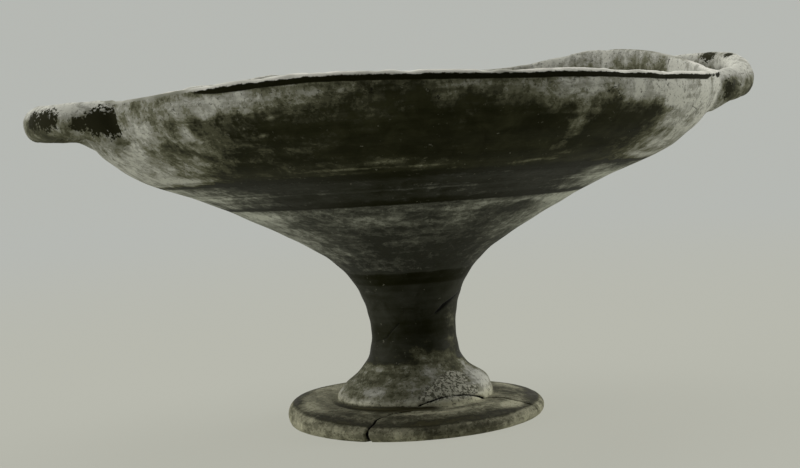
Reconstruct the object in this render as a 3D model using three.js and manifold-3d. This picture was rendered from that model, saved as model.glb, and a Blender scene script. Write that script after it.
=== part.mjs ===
// A kylix: a shallow, stemmed drinking cup of thrown and fired clay, with two horizontal loop handles.
// Bowl, stem, foot and handles were luted together before firing, so the cup is one solid.
// Millimetres, +Z up. The handles lie along X.
// The origin is on the resting plane, below the middle of the bowl's outline as seen from above.
import * as THREE from 'three';
import { mergeVertices } from 'three/addons/utils/BufferGeometryUtils.js';
import Module from 'manifold-3d';

const wasm = await Module();
wasm.setup();

// Facets
const TURN_FACETS = 60;          // round the wheel-thrown body
const HANDLE_STEPS = 16;         // along each handle
const HANDLE_FACETS = 12;        // round each handle

// Foot: a flat disc with a rounded edge, which rests on a flat ring
const FOOT_RADIUS = 45.2;        // widest point of the rounded edge
const FOOT_EDGE_Z = 2.4;         // height of that widest point
const RING_OUTER = 43.4;         // resting ring
const RING_INNER = 37;
const ARRIS_RADIUS = 41.8;       // corner between the rounded edge and the top of the disc
const ARRIS_Z = 5.1;
const DISC_CROWN = 0.5;          // how far the top of the disc swells between the arris and the stem

// Stem and outside of the bowl, as [radius, height] from the stem's rounded base to below the lip
const OUTSIDE = [
  [27.2, 7.3], [27.4, 9.4], [24.8, 12.6], [20.6, 16.2], [16.5, 21.6], [15, 28.5], [15.1, 34],
  [16.7, 41.5], [20.6, 49.6], [28, 57.4], [39.8, 65], [51.8, 71.5], [65.4, 78.3], [79.5, 84.1],
  [90.4, 88.4], [98.2, 93.5], [104.6, 99], [109.3, 105.6], [110.5, 110.5],
];
const OUTSIDE_STEPS = 26;

// Lip
const LIP_RADIUS = 110.4;        // outer corner of the lip
const LIP_Z = 114;
const LIP_TOP_Z = 114.9;
const LIP_ROUNDING = 0.9;        // width of the worn slope from the outer corner to the flat top
const WALL_AT_LIP = 3.8;

// Inside of the bowl: the outside set in by the wall, down to a shallow rounded floor
const WALL_AT_FLOOR = 6.4;
const FLOOR_EDGE = 0.5;          // share of the outside curve, from its foot, where the floor begins
const FLOOR_Z = 62;
const INSIDE_STEPS = 11;
const FLOOR_STEPS = 3;

// Hollow under the foot: a shallow dish that runs up into the stem as a narrow cone
const HOLLOW = [[37, 0], [34.5, 2], [22, 4.2], [13, 8], [8.6, 15], [6.4, 26], [4.6, 36], [0, 39.5]];
const HOLLOW_STEPS = 9;
const CUT_PROUD = 6;             // how far a cutting solid stands out of what it cuts

// Handles: a coil of clay bent to a shallow bow, thickened where it is smoothed on to the wall
const HANDLE_SPREAD = 39;        // half the distance between the roots' centres
const HANDLE_HALF_WIDTH = 4.8;   // the coil is a little deeper than it is wide
const HANDLE_HALF_DEPTH = 5.6;
const HANDLE_ROOT_X = 96;        // the coil's ends, sunk in the wall
const ROOT_SHARE = 0.16;         // share of the coil's length over which each root thickens
const ROOT_WIDTH = 1.5;          // how many times wider a root is than the coil
const DIRECTION_STEP = 0.02;     // share of the line to either side over which its direction is taken
// Squareness 2 is half an ellipse in plan; more is squarer. A root is rootDepth times deeper, all below.
const HANDLES = [
  { side: 1, z: 108.9, reach: 129, squareness: 1.9, tipRise: 2.4, farRootRise: -2.6, rootDepth: 1.6 },
  { side: -1, z: 109.9, reach: 129, squareness: 2.5, tipRise: 0.4, farRootRise: 0, rootDepth: 2 },
];

// Distortion from drying and firing
const LEAN_ANGLE = THREE.MathUtils.degToRad(2.48);  // the bowl and stem lean away from upright
const LEAN_TOWARDS = THREE.MathUtils.degToRad(83.5);
const LEAN_STARTS_Z = 12;
const LEAN_ENDS_Z = 30;
const BOWL_SHIFT = 0.7;          // the bowl sits a little off the foot's centre
const SHIFT_TOWARDS = THREE.MathUtils.degToRad(-12);
const WARP_STARTS_Z = 72;        // the rim's distortion dies away down the wall to this height
const WARP_POWER = 1.5;          // how steeply it dies away
// Where the rim is raised, or sags: by how much, in which direction, and how widely
const RIM_RISES = [
  { height: 10.2, towards: 70, halfWidth: 70, softness: 20 },
  { height: 4.2, towards: 31, halfWidth: 10, softness: 14 },
  { height: 4, towards: 106, halfWidth: 5, softness: 11 },
  { height: 3, towards: 244, halfWidth: 18, softness: 22 },
  { height: -1.9, towards: 315, halfWidth: 19, softness: 14 },
];

const FOOT_RISE = 3;             // the foot's disc is thicker on one side
const FOOT_RISE_TOWARDS = 150;
const DISC_BELOW_Z = 10.2;       // everything below this height near the edge belongs to the disc
const FILLED_OUT = 1.6;          // one side of the stem's base is fuller
const FILLED_TOWARDS = -5;
const FILLED_Z = 14;
const FILLED_HALF_HEIGHT = 4.5;
const MIDDLE_X = 1.1;            // from the foot's centre to the middle of the leaning bowl's outline
const MIDDLE_Y = 4;

const clay = new THREE.MeshStandardMaterial({ color: 0x3a3a2e, roughness: 0.55, metalness: 0 });

function toSolid(geometry) {
  geometry.deleteAttribute('normal');
  geometry.deleteAttribute('uv');
  const merged = mergeVertices(geometry, 1e-4);
  const vertProperties = new Float32Array(merged.attributes.position.array);
  const triVerts = new Uint32Array(merged.index.array);
  return new wasm.Manifold(new wasm.Mesh({ numProp: 3, vertProperties, triVerts }));
}

function toGeometry(solid) {
  const mesh = solid.getMesh();
  const geometry = new THREE.BufferGeometry();
  geometry.setAttribute('position', new THREE.BufferAttribute(new Float32Array(mesh.vertProperties), 3));
  geometry.setIndex(new THREE.BufferAttribute(new Uint32Array(mesh.triVerts), 1));
  return geometry;
}

// A profile of [radius, height] points, turned round the cup's axis
function turned(profile) {
  const points = profile.map(([radius, height]) => new THREE.Vector2(Math.max(radius, 0), height));
  const geometry = new THREE.LatheGeometry(points, TURN_FACETS);
  geometry.rotateX(Math.PI / 2);
  return toSolid(geometry);
}

function spline(points) {
  return new THREE.SplineCurve(points.map(([radius, height]) => new THREE.Vector2(radius, height)));
}

function sampled(curve, from, to, steps) {
  const points = [];
  for (let i = 0; i <= steps; i++) {
    const point = curve.getPoint(from + (to - from) * i / steps);
    points.push([point.x, point.y]);
  }
  return points;
}

// Half an ellipse's quarter turns: from the ring, round the widest point, to the arris
function footEdge() {
  const under = new THREE.EllipseCurve(
    RING_OUTER, FOOT_EDGE_Z, FOOT_RADIUS - RING_OUTER, FOOT_EDGE_Z, -Math.PI / 2, 0);
  const over = new THREE.EllipseCurve(
    ARRIS_RADIUS, FOOT_EDGE_Z, FOOT_RADIUS - ARRIS_RADIUS, ARRIS_Z - FOOT_EDGE_Z, 0, Math.PI / 2);
  return [...sampled(under, 0, 1, 2), ...sampled(over, 0, 1, 3).slice(1)];
}

// The swelling middle of the disc's top, halfway from the arris to the stem
function discTop() {
  const [stemRadius, stemZ] = OUTSIDE[0];
  return [(ARRIS_RADIUS + stemRadius) / 2, (ARRIS_Z + stemZ) / 2 + DISC_CROWN];
}

function lip() {
  return [
    [LIP_RADIUS, LIP_Z], [LIP_RADIUS - LIP_ROUNDING, LIP_TOP_Z],
    [LIP_RADIUS - WALL_AT_LIP + LIP_ROUNDING, LIP_TOP_Z],
  ];
}

// The outside moved inwards, square to itself, by a wall that thickens towards the floor
function inside() {
  const outside = spline(OUTSIDE);
  const points = [];
  for (let i = 0; i <= INSIDE_STEPS; i++) {
    const share = FLOOR_EDGE + (1 - FLOOR_EDGE) * i / INSIDE_STEPS;
    const point = outside.getPoint(share);
    const ahead = outside.getTangent(share);
    const wall = THREE.MathUtils.lerp(WALL_AT_FLOOR, WALL_AT_LIP, i / INSIDE_STEPS);
    points.push([point.x - ahead.y * wall, point.y + ahead.x * wall]);
  }
  return points;
}

function floor(edgeRadius, edgeZ) {
  const points = [];
  for (let i = 0; i < FLOOR_STEPS; i++) {
    const share = i / FLOOR_STEPS;
    points.push([edgeRadius * share, FLOOR_Z + (edgeZ - FLOOR_Z) * share ** 2]);
  }
  return points;
}

function bowlHollow() {
  const wall = inside();
  const innerRadius = LIP_RADIUS - WALL_AT_LIP;
  const proud = LIP_TOP_Z + CUT_PROUD;
  return turned([
    ...floor(...wall[0]), ...wall, [innerRadius, LIP_Z],
    [innerRadius + LIP_ROUNDING, LIP_TOP_Z], [innerRadius + LIP_ROUNDING, proud], [0, proud],
  ]);
}

function footHollow() {
  const curve = sampled(spline(HOLLOW), 0, 1, HOLLOW_STEPS);
  return turned([[0, -CUT_PROUD], [RING_INNER, -CUT_PROUD], ...curve]);
}

function body() {
  return turned([
    [0, 0], ...footEdge(), discTop(), ...sampled(spline(OUTSIDE), 0, 1, OUTSIDE_STEPS),
    ...lip(), [0, LIP_TOP_Z],
  ]);
}

// A point on a handle's middle line, from one root (-1) through the tip (0) to the other root (1)
function handleLine(share, { side, z, reach, squareness, tipRise, farRootRise }) {
  const turn = share * Math.PI / 2;
  const bow = Math.cos(turn) ** (2 / squareness);
  const across = Math.sign(turn) * Math.abs(Math.sin(turn)) ** (2 / squareness);
  const depth = reach - HANDLE_HALF_WIDTH - HANDLE_ROOT_X;
  const rise = tipRise * bow ** 2 + farRootRise * Math.max(across * side, 0);
  return new THREE.Vector3(
    side * (HANDLE_ROOT_X + depth * bow), side * HANDLE_SPREAD * across, z + rise);
}

// A cylinder bent along a handle's line, with its ends spread out and down
function handle(shape) {
  const geometry = new THREE.CylinderGeometry(1, 1, 2, HANDLE_FACETS, HANDLE_STEPS);
  const position = geometry.attributes.position;
  for (let i = 0; i < position.count; i++) {
    const share = position.getY(i);
    const middle = handleLine(share, shape);
    const before = handleLine(Math.max(share - DIRECTION_STEP, -1), shape);
    const ahead = handleLine(Math.min(share + DIRECTION_STEP, 1), shape).sub(before);
    const outward = new THREE.Vector3(ahead.y, -ahead.x, 0).normalize();
    const root = THREE.MathUtils.smoothstep(Math.abs(share), 1 - 2 * ROOT_SHARE, 1);
    const width = HANDLE_HALF_WIDTH * (1 + (ROOT_WIDTH - 1) * root);
    const below = position.getZ(i) < 0 ? 1 + (shape.rootDepth - 1) * root : 1;
    middle.addScaledVector(outward, position.getX(i) * width);
    position.setXYZ(i, middle.x, middle.y, middle.z + position.getZ(i) * HANDLE_HALF_DEPTH * below);
  }
  return toSolid(geometry);
}

function angleBetween(a, b) {
  return Math.abs(THREE.MathUtils.euclideanModulo(a - b + 180, 360) - 180);
}

// Height added to the rim in the direction of an angle, in degrees
function rimRise(angle) {
  return RIM_RISES.reduce((sum, { height, towards, halfWidth, softness }) => {
    const inside = halfWidth + softness - angleBetween(angle, towards);
    return sum + height * THREE.MathUtils.smoothstep(inside, 0, 2 * softness);
  }, 0);
}

// 1 in one direction, falling to 0 at a right angle to it
function lobe(angle, towards) {
  return Math.max(Math.cos(THREE.MathUtils.degToRad(angle - towards)), 0);
}

// Moves every corner of the true cup to where the fired cup has it
function distort(geometry) {
  const position = geometry.attributes.position;
  for (let i = 0; i < position.count; i++) {
    const angle = THREE.MathUtils.radToDeg(Math.atan2(position.getY(i), position.getX(i)));
    const radius = Math.hypot(position.getX(i), position.getY(i));
    const level = position.getZ(i);
    const thickened = FOOT_RISE * lobe(angle, FOOT_RISE_TOWARDS) * Math.min(level / ARRIS_Z, 1)
      * THREE.MathUtils.smoothstep(radius, OUTSIDE[1][0], ARRIS_RADIUS) * (level < DISC_BELOW_Z ? 1 : 0);
    const z = level + thickened;
    const filled = FILLED_OUT * lobe(angle, FILLED_TOWARDS)
      * THREE.MathUtils.smoothstep(FILLED_HALF_HEIGHT - Math.abs(level - FILLED_Z), 0, FILLED_HALF_HEIGHT);
    const widened = 1 + filled / Math.max(radius, 1);
    const x = position.getX(i) * widened;
    const y = position.getY(i) * widened;
    const share = THREE.MathUtils.clamp((z - WARP_STARTS_Z) / (LIP_TOP_Z - WARP_STARTS_Z), 0, 1);
    const raised = z + rimRise(angle) * share ** WARP_POWER;
    const bend = THREE.MathUtils.smoothstep(z, LEAN_STARTS_Z, LEAN_ENDS_Z);
    const slope = Math.tan(LEAN_ANGLE) * bend;
    const along = x * Math.cos(LEAN_TOWARDS) + y * Math.sin(LEAN_TOWARDS);
    const pushed = slope * (raised - (LEAN_STARTS_Z + LEAN_ENDS_Z) / 2);
    const shift = BOWL_SHIFT * bend;
    position.setXYZ(i,
      x + pushed * Math.cos(LEAN_TOWARDS) + shift * Math.cos(SHIFT_TOWARDS) - MIDDLE_X,
      y + pushed * Math.sin(LEAN_TOWARDS) + shift * Math.sin(SHIFT_TOWARDS) - MIDDLE_Y,
      raised - slope * along);
  }
  geometry.computeVertexNormals();
  return geometry;
}

function kylix() {
  const solid = HANDLES.reduce((whole, shape) => whole.add(handle(shape)), body())
    .subtract(bowlHollow()).subtract(footHollow());
  const mesh = new THREE.Mesh(distort(toGeometry(solid)), clay);
  mesh.name = 'kylix';
  return mesh;
}

const cup = new THREE.Group();
cup.add(kylix());

export default cup;
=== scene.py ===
from contextlib import contextmanager
import math

import bmesh
import bpy
import numpy as np
from mathutils import Matrix, Vector, noise

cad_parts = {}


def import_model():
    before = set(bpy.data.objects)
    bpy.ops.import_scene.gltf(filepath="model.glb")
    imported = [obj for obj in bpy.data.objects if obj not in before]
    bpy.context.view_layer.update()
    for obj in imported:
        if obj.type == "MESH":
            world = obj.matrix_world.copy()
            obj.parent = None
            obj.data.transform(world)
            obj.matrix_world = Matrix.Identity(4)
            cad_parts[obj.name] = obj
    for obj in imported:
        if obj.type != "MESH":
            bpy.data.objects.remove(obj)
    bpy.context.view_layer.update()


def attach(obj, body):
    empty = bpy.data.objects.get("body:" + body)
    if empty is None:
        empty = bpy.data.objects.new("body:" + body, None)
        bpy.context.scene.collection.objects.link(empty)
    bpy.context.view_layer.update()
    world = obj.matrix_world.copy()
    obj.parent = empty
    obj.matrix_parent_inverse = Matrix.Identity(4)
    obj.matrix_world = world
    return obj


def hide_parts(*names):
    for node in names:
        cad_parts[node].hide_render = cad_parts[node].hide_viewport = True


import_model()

# A kylix of fired clay with worn dark slip. It is built as it was thrown, upright and in millimetres, from
# the CAD part's measures. Then it is distorted as the CAD part is, roughened, and scaled to metres.
# A place on it is given by its direction from the axis, in degrees (0 is +X, -90 the front), and by its
# level, which is its height on the cup as thrown.

# ---------------- the cup as thrown, in millimetres
# Foot: a flat disc with a rounded edge, which rests on a flat ring
FOOT_RADIUS, FOOT_EDGE_Z = 45.2, 2.4  # widest point of the rounded edge
RING_INNER, RING_OUTER = 37, 43.4
ARRIS_RADIUS, ARRIS_Z = 41.8, 5.1  # corner between the rounded edge and the top of the disc
DISC_TOP = [(34.5, 6.7), (28.6, 7.35)]  # the top of the disc between the arris and the stem

# Stem and outside of the bowl, as (radius, height) from the stem's rounded base to below the lip
OUTSIDE = [
    (27.2, 7.3), (27.4, 9.4), (24.8, 12.6), (20.6, 16.2), (16.5, 21.6), (15, 28.5), (15.1, 34),
    (16.7, 41.5), (20.6, 49.6), (28, 57.4), (39.8, 65), (51.8, 71.5), (65.4, 78.3), (79.5, 84.1),
    (90.4, 88.4), (98.2, 93.5), (104.6, 99), (109.3, 105.6), (110.5, 110.5),
]

# Lip, from the outside over its flat top to the inside
LIP = [(110.5, 110.5), (110.45, 112.5), (110.4, 114), (109.5, 114.9), (107.5, 114.9), (106.6, 114)]
LIP_INSIDE = [(106.6, 114), (107.4, 114.9)]
RIM_RADIUS, LIP_TOP_Z = 110.5, 114.9

# Inside of the bowl: the outside set in by the wall, down to a shallow rounded floor
WALL_AT_LIP, WALL_AT_FLOOR = 3.8, 6.4
FLOOR_EDGE = 0.5  # share of the outside curve, from its foot, where the floor begins
FLOOR_Z = 62

# Hollow under the foot: a shallow dish that runs up into the stem as a narrow cone
HOLLOW = [(37, 0), (34.5, 2), (22, 4.2), (13, 8), (8.6, 15), (6.4, 26), (4.6, 36), (0, 39.5)]

# Handles: a coil of clay bent to a shallow bow, thickened where it is smoothed on to the wall
HANDLE_SPREAD = 39  # half the distance between the roots' centres
HANDLE_HALF_WIDTH, HANDLE_HALF_DEPTH = 4.8, 5.6
HANDLE_ROOT_X = 96  # the coil's ends, sunk in the wall
ROOT_SHARE = 0.16  # share of the coil's length over which each root thickens
ROOT_WIDTH = 1.5  # how many times wider a root is than the coil
DIRECTION_STEP = 0.02  # share of the line to either side over which its direction is taken
# Squareness 2 is half an ellipse in plan; more is squarer. A root is root_depth times deeper, all below.
HANDLES = [
    dict(side=1, z=108.9, reach=129, squareness=1.9, tip_rise=2.4, far_root_rise=-2.6, root_depth=1.6),
    dict(side=-1, z=109.9, reach=129, squareness=2.5, tip_rise=0.4, far_root_rise=0, root_depth=2),
]

# Fineness of the mesh
AROUND = 288  # steps round the wheel-thrown body
FINE_BELOW_Z = 24  # the stem's base, up to here, has finer steps than the wall
HANDLE_STEPS, HANDLE_FACETS = 84, 36  # along and round each handle
FINE_NEAR_CRACK, LONGEST_AT_CRACK = 3.0, 0.45  # longer edges are split this near a crack
SPLITS_AT_CRACK = 2  # at most


def smoothstep(x, low, high):
    """0 at low and 1 at high, with soft ends; low may be the greater of the two."""
    s = np.clip((np.asarray(x, float) - low) / (high - low), 0, 1)
    return s * s * (3 - 2 * s)


def spline(points, shares):
    """A uniform Catmull-Rom curve through the points, at shares from 0 to 1, and its direction."""
    p = np.array(points, float)
    n = len(p)
    t = np.clip(np.asarray(shares, float), 0, 1) * (n - 1)
    i = np.minimum(t.astype(int), n - 2)
    w = (t - i)[:, None]
    p0, p1, p2, p3 = p[np.maximum(i - 1, 0)], p[i], p[i + 1], p[np.minimum(i + 2, n - 1)]
    v0, v1 = (p2 - p0) / 2, (p3 - p1) / 2
    a, b = 2 * p1 - 2 * p2 + v0 + v1, -3 * p1 + 3 * p2 - 2 * v0 - v1
    return a * w**3 + b * w**2 + v0 * w + p1, 3 * a * w**2 + 2 * b * w + v0


def sampled(points, count):
    return spline(points, np.linspace(0, 1, count))[0]


def run_of(line):
    """How far each point of a polyline is from its start, along the line."""
    return np.concatenate([[0], np.cumsum(np.hypot(*np.diff(line, axis=0).T))])


def respaced(points, spacing):
    """The polyline's points moved to equal steps of about that spacing."""
    p = np.array(points, float)
    run = run_of(p)
    steps = max(2, round(run[-1] / spacing))
    at = np.linspace(0, run[-1], steps + 1)
    return np.stack([np.interp(at, run, p[:, 0]), np.interp(at, run, p[:, 1])], 1)


def arc(cx, cz, rx, rz, start, end):
    a = np.radians(np.linspace(start, end, 24))
    return np.stack([cx + rx * np.cos(a), cz + rz * np.sin(a)], 1)


def edge_below():
    """The foot's rounded edge, from the resting ring out to its widest point."""
    return arc(RING_OUTER, FOOT_EDGE_Z, FOOT_RADIUS - RING_OUTER, FOOT_EDGE_Z, -90, 0)


def edge_above():
    """The rest of the rounded edge, from its widest point up to the arris."""
    return arc(ARRIS_RADIUS, FOOT_EDGE_Z, FOOT_RADIUS - ARRIS_RADIUS, ARRIS_Z - FOOT_EDGE_Z, 0, 90)


def inside_curve():
    """The outside moved inwards, square to itself, by a wall that thickens towards the floor."""
    shares = np.linspace(FLOOR_EDGE, 1, 160)
    point, ahead = spline(OUTSIDE, shares)
    ahead /= np.hypot(*ahead.T)[:, None]
    wall = np.linspace(WALL_AT_FLOOR, WALL_AT_LIP, len(shares))
    return np.stack([point[:, 0] - ahead[:, 1] * wall, point[:, 1] + ahead[:, 0] * wall], 1)


def floor_curve(edge_radius, edge_z):
    share = np.linspace(1, 0, 30)
    return np.stack([edge_radius * share, FLOOR_Z + (edge_z - FLOOR_Z) * share**2], 1)


def profile():
    """The whole section: down the hollow, under the foot, up the outside, over the lip and in."""
    outside = sampled(OUTSIDE, 900)
    split = int(np.argmax(outside[:, 1] > FINE_BELOW_Z))
    wall = inside_curve()
    sections_and_spacing = [
        (sampled(HOLLOW[::-1], 200), 2.8),
        ([(RING_INNER, 0), (RING_OUTER, 0)], 1.6),
        (edge_below(), 0.7),
        (edge_above(), 0.6),
        (sampled([(ARRIS_RADIUS, ARRIS_Z), *DISC_TOP, OUTSIDE[0]], 60), 0.72),
        (outside[:split + 1], 0.85),
        (outside[split:], 1.15),
        (LIP, 0.5),
        (wall[::-1], 2.2),
        (floor_curve(*wall[0]), 2.8),
    ]
    parts = [respaced(section, spacing) for section, spacing in sections_and_spacing]
    line = np.concatenate([parts[0]] + [part[1:] for part in parts[1:]])
    soft = line.copy()
    soft[1:-1] = (line[:-2] + 2 * line[1:-1] + line[2:]) / 4
    resting = line[:, 1] < 0.02
    soft[resting, 1] = line[resting, 1]
    return soft


PROFILE = profile()
OUTER_LINE = np.concatenate([edge_above(), DISC_TOP[:1], sampled(OUTSIDE, 400), LIP[1:4]])
INNER_LINE = np.concatenate([[(0, FLOOR_Z), (10, FLOOR_Z + 0.5)], inside_curve(), LIP_INSIDE])
HOLLOW_LINE = sampled(HOLLOW[::-1], 120)[::-1]


def outer_radius(level):
    return np.interp(level, OUTER_LINE[:, 1], OUTER_LINE[:, 0])


def inner_radius(level):
    return np.interp(level, INNER_LINE[:, 1], INNER_LINE[:, 0], left=0)


def hollow_radius(level):
    return np.interp(level, HOLLOW_LINE[:, 1], HOLLOW_LINE[:, 0], right=0)


def run_up(level):
    """How far a level of the outside is from the foot's edge, along the surface."""
    return np.interp(level, OUTER_LINE[:, 1], run_of(OUTER_LINE))


@contextmanager
def edited(mesh):
    bm = bmesh.new()
    bm.from_mesh(mesh)
    yield bm
    bm.to_mesh(mesh)
    bm.free()


def new_object(name, verts, faces):
    """An object in the scene; the faces of a closed one are turned outwards."""
    mesh = bpy.data.meshes.new(name)
    mesh.from_pydata(verts, [], faces)
    if len(faces) > 1:
        with edited(mesh) as bm:
            bmesh.ops.recalc_face_normals(bm, faces=bm.faces)
    obj = bpy.data.objects.new(name, mesh)
    bpy.context.scene.collection.objects.link(obj)
    return obj


def lathe(line, around, name):
    """A closed solid of revolution about Z; the line starts and ends on the axis."""
    turn = np.arange(around) * 2 * math.pi / around
    rings = [[(r * math.cos(a), r * math.sin(a), z) for a in turn] for r, z in line[1:-1]]
    verts = [(0, 0, line[0][1])] + [v for ring in rings for v in ring] + [(0, 0, line[-1][1])]
    last = len(verts) - 1
    top_ring = 1 + (len(rings) - 1) * around
    faces = []
    for j in range(around):
        k = (j + 1) % around
        faces.append((0, 1 + k, 1 + j))
        faces.append((last, top_ring + j, top_ring + k))
        for i in range(len(rings) - 1):
            a, b = 1 + i * around, 1 + (i + 1) * around
            faces.append((a + j, a + k, b + k, b + j))
    return new_object(name, verts, faces)


def handle_line(share, shape):
    """A point on a handle's middle line, from one root (-1) through the tip (0) to the other root (1)."""
    turn = share * math.pi / 2
    side = shape["side"]
    bow = max(math.cos(turn), 0) ** (2 / shape["squareness"])
    across = math.copysign(abs(math.sin(turn)) ** (2 / shape["squareness"]), turn)
    depth = shape["reach"] - HANDLE_HALF_WIDTH - HANDLE_ROOT_X
    rise = shape["tip_rise"] * bow**2 + shape["far_root_rise"] * max(across * side, 0)
    return Vector((side * (HANDLE_ROOT_X + depth * bow), side * HANDLE_SPREAD * across, shape["z"] + rise))


def handle_ring(share, shape):
    """The corners round the coil at that share of its length; a root is spread out and down."""
    middle = handle_line(share, shape)
    before = handle_line(max(share - DIRECTION_STEP, -1), shape)
    ahead = handle_line(min(share + DIRECTION_STEP, 1), shape) - before
    out = Vector((ahead.y, -ahead.x, 0)).normalized()
    root = float(smoothstep(abs(share), 1 - 2 * ROOT_SHARE, 1))
    width = HANDLE_HALF_WIDTH * (1 + (ROOT_WIDTH - 1) * root)
    ring = []
    for j in range(HANDLE_FACETS):
        a = 2 * math.pi * j / HANDLE_FACETS
        below = 1 + (shape["root_depth"] - 1) * root if math.sin(a) < 0 else 1
        up = Vector((0, 0, HANDLE_HALF_DEPTH * below * math.sin(a)))
        ring.append(tuple(middle + out * (width * math.cos(a)) + up))
    return ring


def handle(shape, name):
    """A coil of clay bent along the handle's line, closed at both ends."""
    verts = [v for i in range(HANDLE_STEPS + 1) for v in handle_ring(2 * i / HANDLE_STEPS - 1, shape)]
    start_cap = tuple(range(HANDLE_FACETS))
    end_cap = tuple(HANDLE_STEPS * HANDLE_FACETS + j for j in reversed(range(HANDLE_FACETS)))
    faces = [start_cap, end_cap]
    for i in range(HANDLE_STEPS):
        for j in range(HANDLE_FACETS):
            k = (j + 1) % HANDLE_FACETS
            a, b = i * HANDLE_FACETS, (i + 1) * HANDLE_FACETS
            faces.append((a + j, b + j, b + k, a + k))
    return new_object(name, verts, faces)


def boolean(target, tool, operation):
    modifier = target.modifiers.new(operation, "BOOLEAN")
    modifier.operation, modifier.solver, modifier.object = operation, "EXACT", tool
    evaluated = target.evaluated_get(bpy.context.evaluated_depsgraph_get())
    mesh = bpy.data.meshes.new_from_object(evaluated)
    target.modifiers.clear()
    target.data = mesh
    bpy.data.objects.remove(tool)
    return target


def clip_line():
    """The middle of the wall, closed, to cut off what a handle would put inside the bowl."""
    lowest, highest = 92, 130
    levels = np.linspace(lowest, LIP_TOP_Z, 20)
    radii = (outer_radius(levels) + inner_radius(levels)) / 2
    return [(0, lowest)] + list(zip(radii, levels)) + [(radii[-1], highest), (0, highest)]


def off_wall(place):
    """How far a point is outside the bowl's wall."""
    return math.hypot(place.x, place.y) - float(outer_radius(place.z))


def soften_roots(obj):
    """Rounds the corner where the handles run into the wall, as fingers did in the wet clay."""
    nearest_x, lowest, highest = 85, 95, 113.6
    sharp_angle, longest_edge = 0.35, 4
    with edited(obj.data) as bm:
        near = [e for e in bm.edges
                if e.is_manifold and abs(e.verts[0].co.x) > nearest_x and lowest < e.verts[0].co.z < highest]
        sharp = [e for e in near if e.calc_face_angle(0) > sharp_angle and e.calc_length() < longest_edge]
        seam = {v for e in sharp for v in e.verts if abs(off_wall(v.co)) < 0.6}
        for _ in range(2):
            seam |= {e.other_vert(v) for v in seam for e in v.link_edges}
        seam = [v for v in seam if v.co.z < highest + 0.2 and off_wall(v.co) > -0.5]
        for _ in range(8):
            bmesh.ops.smooth_vert(
                bm, verts=seam, factor=0.5, use_axis_x=True, use_axis_y=True, use_axis_z=True)


def true_cup():
    """The cup as thrown, with its handles on."""
    cup = lathe(PROFILE, AROUND, "kylix_clay")
    for i, shape in enumerate(HANDLES):
        loop = handle(shape, f"loop{i}")
        loop = boolean(loop, lathe(clip_line(), 96, f"clip{i}"), "DIFFERENCE")
        cup = boolean(cup, loop, "UNION")
    soften_roots(cup)
    return cup


# ---------------- distortion from drying and firing
LEAN_ANGLE, LEAN_TOWARDS = math.radians(2.48), math.radians(83.5)  # the bowl and stem lean
LEAN_STARTS_Z, LEAN_ENDS_Z = 12, 30
BOWL_SHIFT, SHIFT_TOWARDS = 0.7, math.radians(-12)  # the bowl sits a little off the foot's centre
WARP_STARTS_Z, WARP_POWER = 72, 1.5  # down to where the rim's distortion dies away, and how steeply
# Where the rim is raised, or sags: height, direction, half the width and softness in degrees
RIM_RISES = [(10.2, 70, 70, 20), (4.2, 31, 10, 14), (4, 106, 5, 11), (3, 244, 18, 22), (-1.9, 315, 19, 14)]
FOOT_RISE, FOOT_RISE_TOWARDS = 3, 150  # the foot's disc is thicker on one side
DISC_BELOW_Z = 10.2  # everything below this height near the edge belongs to the disc
FILLED_OUT, FILLED_TOWARDS = 1.6, -5  # one side of the stem's base is fuller
FILLED_Z, FILLED_HALF_HEIGHT = 14, 4.5
MIDDLE_X, MIDDLE_Y = 1.1, 4  # from the foot's centre to the middle of the leaning bowl's outline


def turn_from(angle, towards):
    """The angle from that direction, from -180 to 180 degrees."""
    return (angle - towards + 180) % 360 - 180


def rim_rise(angle):
    rise = 0
    for height, towards, half_width, softness in RIM_RISES:
        between = np.abs(turn_from(angle, towards))
        rise = rise + height * smoothstep(half_width + softness - between, 0, 2 * softness)
    return rise


def lobe(angle, towards):
    """1 in one direction, falling to 0 at a right angle to it."""
    return np.maximum(np.cos(np.radians(angle - towards)), 0)


def distorted(p):
    """Where each point of the cup as thrown is on the fired cup, still in millimetres."""
    x, y, level = p.T
    angle, radius = np.degrees(np.arctan2(y, x)), np.hypot(x, y)
    thickened = FOOT_RISE * lobe(angle, FOOT_RISE_TOWARDS) * np.minimum(level / ARRIS_Z, 1)
    thickened = thickened * smoothstep(radius, OUTSIDE[1][0], ARRIS_RADIUS) * (level < DISC_BELOW_Z)
    z = level + thickened
    filled = FILLED_OUT * lobe(angle, FILLED_TOWARDS)
    filled = filled * smoothstep(FILLED_HALF_HEIGHT - np.abs(level - FILLED_Z), 0, FILLED_HALF_HEIGHT)
    widened = 1 + filled / np.maximum(radius, 1)
    x, y = x * widened, y * widened
    share = np.clip((z - WARP_STARTS_Z) / (LIP_TOP_Z - WARP_STARTS_Z), 0, 1)
    raised = z + rim_rise(angle) * share**WARP_POWER
    bend = smoothstep(z, LEAN_STARTS_Z, LEAN_ENDS_Z)
    slope = math.tan(LEAN_ANGLE) * bend
    along = x * math.cos(LEAN_TOWARDS) + y * math.sin(LEAN_TOWARDS)
    pushed = slope * (raised - (LEAN_STARTS_Z + LEAN_ENDS_Z) / 2)
    shift = BOWL_SHIFT * bend
    return np.stack([
        x + pushed * math.cos(LEAN_TOWARDS) + shift * math.cos(SHIFT_TOWARDS) - MIDDLE_X,
        y + pushed * math.sin(LEAN_TOWARDS) + shift * math.sin(SHIFT_TOWARDS) - MIDDLE_Y,
        raised - slope * along], 1)


# ---------------- places on the clay
HANDLES_ABOVE_Z = 90
HOLLOW_BELOW_Z = 41


def points_of(mesh):
    co = np.zeros(len(mesh.vertices) * 3)
    mesh.vertices.foreach_get("co", co)
    return co.reshape(-1, 3)


def direction_of(p):
    return np.degrees(np.arctan2(p[:, 1], p[:, 0]))


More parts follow.
